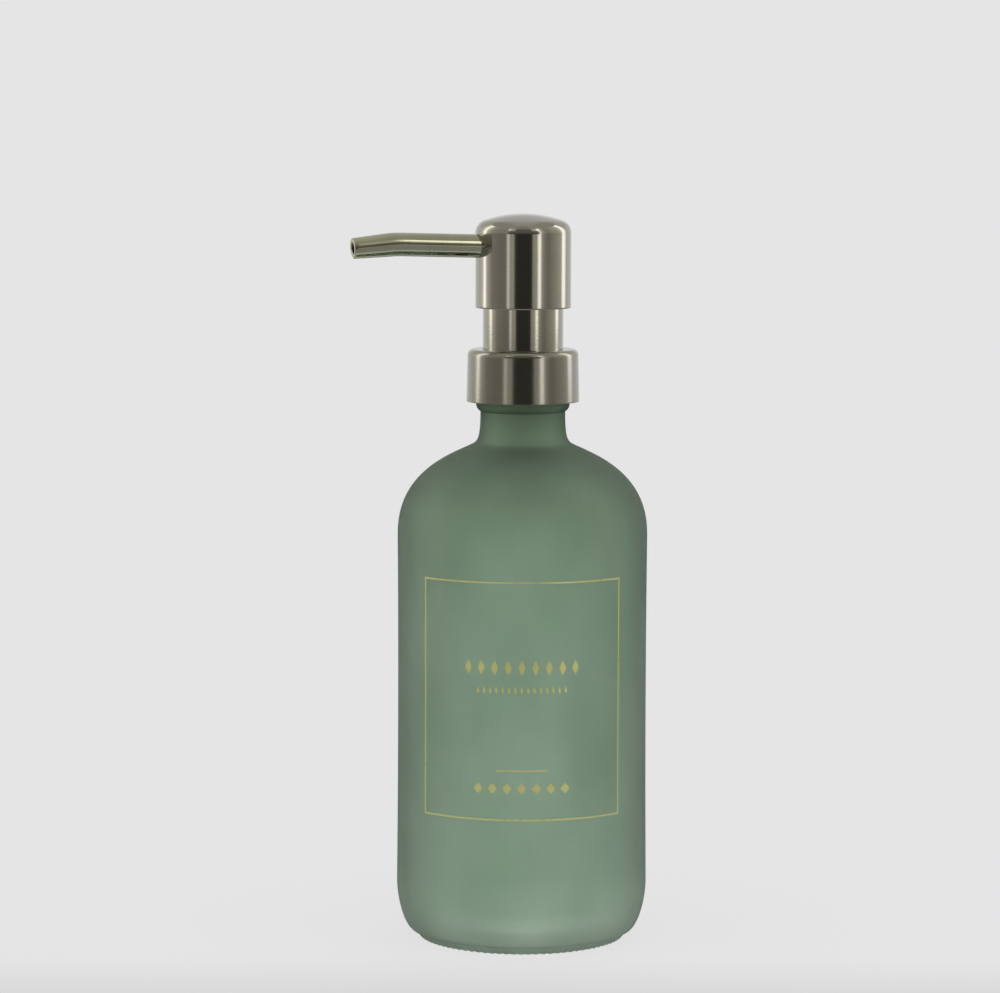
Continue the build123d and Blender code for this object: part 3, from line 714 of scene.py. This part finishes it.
# The hole is cut with a bar on the spout's line.
drill_radius = (spout_radius + hole_gap) * mm
drill = bmesh.new()
bmesh.ops.create_cone(
    drill, cap_ends=True, segments=96, radius1=drill_radius, radius2=drill_radius, depth=drill_length * mm,
)
along = Vector((
    -cos(spout_azimuth) * cos(spout_rise), -sin(spout_azimuth) * cos(spout_rise), sin(spout_rise),
))
on_axis = Vector((0, 0, spout_z - head_radius * tan(spout_rise)))
drill.transform(along.to_track_quat("Z", "Y").to_matrix().to_4x4())
drill.transform(Matrix.Translation(along * drill_reach * mm + on_axis * mm))
drill_bar = solid_piece(drill, "spout_drill")
cut = whole_head.modifiers.new("spout_hole", "BOOLEAN")
cut.object, cut.operation, cut.solver = drill_bar, "DIFFERENCE", "EXACT"
head_mesh = bpy.data.meshes.new_from_object(whole_head.evaluated_get(bpy.context.evaluated_depsgraph_get()))
whole_head.modifiers.remove(cut)
bpy.data.objects.remove(drill_bar)
whole_head.data = head_mesh
head_mesh.shade_smooth()
head_mesh.set_sharp_from_angle(angle=radians(40))
head_mesh.materials.clear()
head_mesh.materials.append(plate)
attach(whole_head, "head")
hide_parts("head_shell")

# Black polypropylene, moulded with a fine matt grain.
black_pp = moulded("moulded_black_polypropylene", "#232322", "#2E2E2D", 0.4, 0.52, 0.3, 0.02)
dress(black_pp, "head_core")


# Spout
# Drawn tube, bent down a little near its end, tapered to a smaller mouth there and plated with the head.
# It is pressed into the core, with a seal ring round it.

spout_bore, tip_radius, tip_bore, lip_round = 2.1, 3.1, 1.7, 0.35
spout_start, bend_reach, tip_reach, bend_radius = 4.5, 39.8, 52.9, 40.0
spout_fall, tube_segments = radians(5), 72

spout_plate = antique_nickel("antique_nickel_tube", "#ABAA96", "#B3B29E", "#A3A28C", 0.05, 0.08, 0.01)
bend_z = spout_z + (bend_reach - head_radius) * tan(spout_rise)
bend_cut = bend_radius * tan((spout_rise + spout_fall) / 2)
bend_start = (bend_reach - bend_cut * cos(spout_rise), bend_z - bend_cut * sin(spout_rise))
root = (spout_start, spout_z + (spout_start - head_radius) * tan(spout_rise))
# Places along the spout, as (reach, height, angle, how far along its taper).
stations = [(*point, spout_rise, 0.0) for point in evenly(root, bend_start, 6)]
for i in range(17):
    angle = spout_rise - (spout_rise + spout_fall) * i / 16
    stations.append((
        bend_start[0] + bend_radius * (sin(spout_rise) - sin(angle)),
        bend_start[1] + bend_radius * (cos(angle) - cos(spout_rise)), angle, 0.0,
    ))
bend_end = stations[-1]
tip_length = (tip_reach - bend_end[0]) / cos(spout_fall)
for i in range(1, 9):
    share = i / 8
    stations.append((
        bend_end[0] + tip_length * share * cos(spout_fall),
        bend_end[1] - tip_length * share * sin(spout_fall), -spout_fall, share,
    ))


def ring_round(work, station, radius, forward=0.0):
    """Ring of points round the spout's line at a station, moved forward along it."""
    reach, height, angle, _ = station
    made = []
    for k in range(tube_segments):
        turn = 2 * pi * k / tube_segments
        flat = reach + forward * cos(angle) - radius * sin(turn) * sin(angle)
        across = radius * cos(turn)
        up = height + forward * sin(angle) + radius * sin(turn) * cos(angle)
        made.append(work.verts.new((
            (-flat * cos(spout_azimuth) + across * sin(spout_azimuth)) * mm,
            (-flat * sin(spout_azimuth) - across * cos(spout_azimuth)) * mm, up * mm,
        )))
    return made


pipe = bmesh.new()
rings = [ring_round(pipe, s, spout_radius + (tip_radius - spout_radius) * s[3]) for s in stations[:-1]]
for i in range(7):
    angle = pi / 2 * i / 6
    lip_radius = tip_radius - lip_round * (1 - cos(angle))
    rings.append(ring_round(pipe, stations[-1], lip_radius, lip_round * (sin(angle) - 1)))
for i in range(5):
    angle = pi / 2 * i / 4
    lip_radius = tip_bore + lip_round * (1 - sin(angle))
    rings.append(ring_round(pipe, stations[-1], lip_radius, lip_round * (cos(angle) - 1)))
rings += [ring_round(pipe, s, spout_bore + (tip_bore - spout_bore) * s[3]) for s in stations[-2::-1]]
skin(pipe, rings, looped=True, closed=True)
spout = solid_piece(pipe, "spout_bent_tube")
spout.data.materials.append(spout_plate)
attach(spout, "head")
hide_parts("spout")


# Studio
# A pale floor that runs into a pale surround. The polished metal shows what stands round the set: grey walls
# with narrow white strips, a black flag in front and a ceiling. Those aren't seen by the camera.

background = linear("#E5E5E5")
floor_radius, wall_radius, wall_low, wall_high, wall_span, wall_step = 0.5, 1.6, -0.6, 1.8, 125, 2
roof_radius, roof_gap, shade_sheet_inner, shade_sheet_outer, shade_sheet_z = 4.5, 0.01, 0.16, 1.2, 0.0005
lamp_reach, lamp_aim = 1.1, Vector((0, 0, 0.1))


def stage_material(name):
    """Empty material for the set."""
    material = bpy.data.materials.new(name)
    material.use_nodes = True
    material.node_tree.nodes.clear()
    return material, material.node_tree


def glow_with(tree, colour, strength=1.0):
    """Let a surface of the set glow in a colour, whatever light falls on it."""
    glow = add(tree, "ShaderNodeEmission", {"Color": colour, "Strength": strength})
    add(tree, "ShaderNodeOutputMaterial", {"Surface": glow.outputs[0]})


def seen_directly(tree):
    """1 where the camera, a reflection or a view through glass meets it, 0 for the light that it casts."""
    path = add(tree, "ShaderNodeLightPath").outputs
    seen = path["Is Camera Ray"]
    for way in ("Is Glossy Ray", "Is Transmission Ray"):
        seen = add(tree, "ShaderNodeMath", {0: seen, 1: path[way]}, operation="MAXIMUM").outputs[0]
    return seen


def disc_mesh(name, radius, height):
    """Flat round mesh at a height."""
    work = bmesh.new()
    bmesh.ops.create_circle(work, cap_ends=True, segments=96, radius=radius)
    bmesh.ops.translate(work, verts=work.verts, vec=(0, 0, height))
    return plain_mesh(work, name)


# The floor is lit cloth near the bottle, so that it keeps the shadow, and its own pale colour further out. In
# front of the bottle it carries painted shade: a band a little darker in tone, which fades out to the sides.
floor_finish, tree = stage_material("pale_floor")
place = add(tree, "ShaderNodeTexCoord").outputs["Object"]
spot = add(tree, "ShaderNodeSeparateXYZ", {"Vector": place})
in_front = add(tree, "ShaderNodeMapRange", {
    "Value": spot.outputs["Y"], "From Min": -0.035, "From Max": -0.195,
})
# Painted shade: a darker band across the floor in front of the bottle.
painted_floor_shade = add(tree, "ShaderNodeValToRGB", {"Fac": in_front.outputs[0]}, [
    (0.0, background), (0.15, linear("#E0E0E0")), (0.28, linear("#DADADA")), (0.5, linear("#DADADA")),
    (1.0, background),
])
off_side = add(tree, "ShaderNodeMath", {0: spot.outputs["X"]}, operation="ABSOLUTE")
aside = add(tree, "ShaderNodeMapRange", {"Value": off_side.outputs[0], "From Min": 0.17, "From Max": 0.34})
shade = add(tree, "ShaderNodeMix", {
    "Factor": aside.outputs[0], 6: painted_floor_shade.outputs[0], 7: background,
}, data_type="RGBA")
glow = add(tree, "ShaderNodeEmission", {"Color": shade.outputs[2], "Strength": 1.0})
cloth = add(tree, "ShaderNodeBsdfDiffuse", {"Color": shade.outputs[2]})
away = add(tree, "ShaderNodeVectorMath", {0: place}, operation="LENGTH")
near = add(tree, "ShaderNodeMapRange", {
    "Value": away.outputs["Value"], "From Min": 0.03, "From Max": 0.12, "To Min": 0.1, "To Max": 0.0,
})
shown = add(tree, "ShaderNodeMath", {0: 1.0, 1: near.outputs[0]}, operation="SUBTRACT")
lit = add(tree, "ShaderNodeMath", {0: seen_directly(tree), 1: shown.outputs[0]}, operation="MULTIPLY")
blend = add(tree, "ShaderNodeMixShader", {0: lit.outputs[0], 1: cloth.outputs[0], 2: glow.outputs[0]})
add(tree, "ShaderNodeOutputMaterial", {"Surface": blend.outputs[0]})
floor = bpy.data.objects.new("floor", disc_mesh("floor", floor_radius, 0))
floor.data.materials.append(floor_finish)

# What stands round the set, as (degrees round from the camera's side, brightness).
white_strips = [
    (-113, 1.1), (-109.5, 2.4), (-104, 2.4), (-100, 1.3), (-37.5, 1.15), (-34.5, 1.05), (37.5, 2.1),
    (41, 2.1), (109, 2.3), (117.5, 2.2), (123, 1.0),
]
grey_cloth = [
    (-125, 0.82), (-96, 0.8), (-86, 0.53), (-80, 0.38), (-58, 0.3), (-45, 0.3), (-41, 0.4), (-31, 0.56),
    (-24, 0.56), (24, 0.5), (33, 0.62), (45.5, 0.62), (54, 0.36), (63, 0.3), (77, 0.43), (92, 0.56),
    (104, 0.8),
]
black_flag = [(-18.5, 0.08), (-12, 0.05), (15, 0.05), (20, 0.08)]
white_tint, grey_tint, brightest = (1, 0.99, 0.96), (1, 0.97, 0.85), 2.5
stands = [(*part, white_tint) for part in white_strips]
stands += [(*part, grey_tint) for part in grey_cloth + black_flag]
wall_finish, tree = stage_material("grey_walls_with_strips")
spot = add(tree, "ShaderNodeSeparateXYZ", {"Vector": add(tree, "ShaderNodeTexCoord").outputs["Object"]})
forward = add(tree, "ShaderNodeMath", {0: spot.outputs["Y"], 1: -1.0}, operation="MULTIPLY")
bearing = add(tree, "ShaderNodeMath", {0: spot.outputs["X"], 1: forward.outputs[0]}, operation="ARCTAN2")
round_set = add(tree, "ShaderNodeMapRange", {"Value": bearing.outputs[0], "From Min": -pi, "From Max": pi})
tones = add(tree, "ShaderNodeValToRGB", {"Fac": round_set.outputs[0]}, [
    ((angle + 180) / 360, (*[bright * part / brightest for part in tint], 1))
    for angle, bright, tint in sorted(stands)
])
# Low on the walls the strips are dimmer, and the greys less so.
low_down = {"Value": spot.outputs["Z"], "From Min": 0.035, "From Max": 0.095}
crowding = add(tree, "ShaderNodeMapRange", {**low_down, "To Min": 2.0, "To Max": 0.0})
crowded = add(tree, "ShaderNodeMath", {
    0: tones.outputs[0], 1: crowding.outputs[0], 2: 1.0,
}, operation="MULTIPLY_ADD")
gain = add(tree, "ShaderNodeMapRange", {**low_down, "To Min": 2.1, "To Max": brightest})
strength = add(tree, "ShaderNodeMath", {0: gain.outputs[0], 1: crowded.outputs[0]}, operation="DIVIDE")
# From 0.3 to 0.85 m up, dark cloth hangs at both sides of the flag. All walls pale a little upwards.
up_cloth = add(tree, "ShaderNodeMapRange", {"Value": spot.outputs["Z"], "From Min": 0.2, "From Max": 1.2})
side_cloth = add(tree, "ShaderNodeValToRGB", {"Fac": up_cloth.outputs[0]}, [
    (0.0, (1, 1, 1, 1)), (0.1, (0.12, 0.12, 0.12, 1)), (0.65, (0.12, 0.12, 0.12, 1)), (0.85, (1, 1, 1, 1)),
])
to_side = add(tree, "ShaderNodeMath", {0: bearing.outputs[0]}, operation="ABSOLUTE")
past_flag = add(tree, "ShaderNodeValToRGB", {"Fac": to_side.outputs[0]}, [
    (0.3, (1, 1, 1, 1)), (0.36, (0, 0, 0, 1)), (0.64, (0, 0, 0, 1)), (0.74, (1, 1, 1, 1)),
])
uncovered = add(tree, "ShaderNodeMath", {
    0: side_cloth.outputs[0], 1: past_flag.outputs[0],
}, operation="MAXIMUM")
covered = add(tree, "ShaderNodeMix", {
    "Factor": 1.0, 6: tones.outputs[0], 7: uncovered.outputs[0],
}, data_type="RGBA", blend_type="MULTIPLY")
up_wall = add(tree, "ShaderNodeMapRange", {"Value": spot.outputs["Z"], "From Min": 0.3, "From Max": 1.8})
paling = add(tree, "ShaderNodeValToRGB", {"Fac": up_wall.outputs[0]}, [
    (0.0, (0, 0, 0, 1)), (0.05, (0.04, 0.04, 0.033, 1)), (0.4, (0.055, 0.055, 0.046, 1)),
    (0.73, (0.06, 0.06, 0.05, 1)), (1.0, (0.09, 0.09, 0.075, 1)),
])
raised = add(tree, "ShaderNodeMix", {
    "Factor": 1.0, 6: covered.outputs[2], 7: paling.outputs[0],
}, data_type="RGBA", blend_type="ADD")
glow_with(tree, raised.outputs[2], strength.outputs[0])
panels = bmesh.new()
columns = [
    [panels.verts.new((wall_radius * sin(a), -wall_radius * cos(a), z)) for z in (wall_low, wall_high)]
    for a in (radians(i) for i in range(-wall_span, wall_span + 1, wall_step))
]
skin(panels, columns)
walls = bpy.data.objects.new("studio_walls", plain_mesh(panels, "studio_walls"))
walls.data.materials.append(wall_finish)

# The ceiling is palest towards the back, and greyer over the flag and to the sides.
ceiling_finish, tree = stage_material("grey_ceiling")
spot = add(tree, "ShaderNodeSeparateXYZ", {"Vector": add(tree, "ShaderNodeTexCoord").outputs["Object"]})
backwards = add(tree, "ShaderNodeMapRange", {"Value": spot.outputs["Y"], "From Min": -1.0, "From Max": 1.6})
tones = add(tree, "ShaderNodeValToRGB", {"Fac": backwards.outputs[0]}, [
    (0.0, (0.4, 0.4, 0.34, 1)), (0.15, (0.47, 0.47, 0.4, 1)), (0.3, (0.58, 0.58, 0.5, 1)),
    (0.56, (0.63, 0.63, 0.57, 1)), (1.0, (0.68, 0.68, 0.68, 1)),
])
off_flag = add(tree, "ShaderNodeMath", {0: spot.outputs["X"]}, operation="ABSOLUTE")
beside = add(tree, "ShaderNodeMapRange", {"Value": off_flag.outputs[0], "From Min": 0.2, "From Max": 0.55})
lid = add(tree, "ShaderNodeMix", {
    "Factor": beside.outputs[0], 6: tones.outputs[0], 7: (0.5, 0.5, 0.45, 1),
}, data_type="RGBA")
glow_with(tree, lid.outputs[2])
ceiling = bpy.data.objects.new("studio_ceiling", disc_mesh("studio_ceiling", wall_radius, wall_high))
ceiling.data.materials.append(ceiling_finish)

# Further back a plain grey ceiling goes on. Only the top of the dome shows it.
roof_finish, tree = stage_material("far_ceiling")
glow_with(tree, (0.68, 0.68, 0.67, 1))
roof = bpy.data.objects.new("far_ceiling", disc_mesh("far_ceiling", roof_radius, wall_high + roof_gap))
roof.data.materials.append(roof_finish)

# A grey sheet glows round the bottle's place: painted shade of the floor in the metal's reflection. Only the
# polished metal shows it, under the spout.
floor_shade_finish, tree = stage_material("glowing_floor_shade")
glow_with(tree, (0.37, 0.38, 0.37, 1))
sheet = bmesh.new()
ring_pairs = [
    [sheet.verts.new((r * cos(a), r * sin(a), shade_sheet_z)) for r in (shade_sheet_inner, shade_sheet_outer)]
    for a in (2 * pi * i / 64 for i in range(64))
]
skin(sheet, ring_pairs, looped=True)
floor_shade_sheet = bpy.data.objects.new("glowing_floor_shade", plain_mesh(sheet, "glowing_floor_shade"))
floor_shade_sheet.data.materials.append(floor_shade_finish)
floor_shade_sheet.visible_transmission = roof.visible_transmission = False
for part in (floor, walls, ceiling, roof, floor_shade_sheet):
    bpy.context.scene.collection.objects.link(part)
for part in (walls, ceiling, roof, floor_shade_sheet):
    part.visible_camera = part.visible_diffuse = part.visible_shadow = False

world = bpy.data.worlds.new("pale_surround")
bpy.context.scene.world = world
world.use_nodes = True
tree = world.node_tree
tree.nodes.clear()
shown = add(tree, "ShaderNodeMix", {
    "Factor": seen_directly(tree), 6: linear("#B9B9B9"), 7: background,
}, data_type="RGBA")
sky = add(tree, "ShaderNodeBackground", {"Color": shown.outputs[2], "Strength": 1.0})
add(tree, "ShaderNodeOutputWorld", {"Surface": sky.outputs[0]})

for name, azimuth, height, size, watts in [
    ("soft_lamp_left", -60, 0.55, 0.7, 5.0), ("soft_lamp_right", 55, 0.5, 0.7, 5.0),
    ("soft_lamp_back", 160, 0.8, 0.9, 5.0),
]:
    lamp = bpy.data.lights.new(name, "AREA")
    lamp.shape, lamp.size, lamp.energy = "SQUARE", size, watts
    holder = bpy.data.objects.new(name, lamp)
    turn = radians(azimuth)
    holder.location = (sin(turn) * lamp_reach, -cos(turn) * lamp_reach, height)
    holder.rotation_euler = (lamp_aim - holder.location).to_track_quat("-Z", "Y").to_euler()
    holder.visible_camera = holder.visible_glossy = holder.visible_transmission = False
    bpy.context.scene.collection.objects.link(holder)

# The camera stands 1.2 m off, a little above the head, and looks 5.9 degrees down.
camera_distance, camera_height, look_down, roll, pan = 1.2, 0.2577, 5.89, -0.15, 0.3405
lens = bpy.data.cameras.new("camera")
lens.lens, lens.sensor_width = 143.82, 36
camera = bpy.data.objects.new("camera", lens)
camera.location = (0, -camera_distance, camera_height)
camera.rotation_euler = (radians(90 - look_down), radians(roll), radians(pan))
bpy.context.scene.collection.objects.link(camera)
bpy.context.scene.camera = camera
bpy.context.scene.view_settings.view_transform = "Standard"
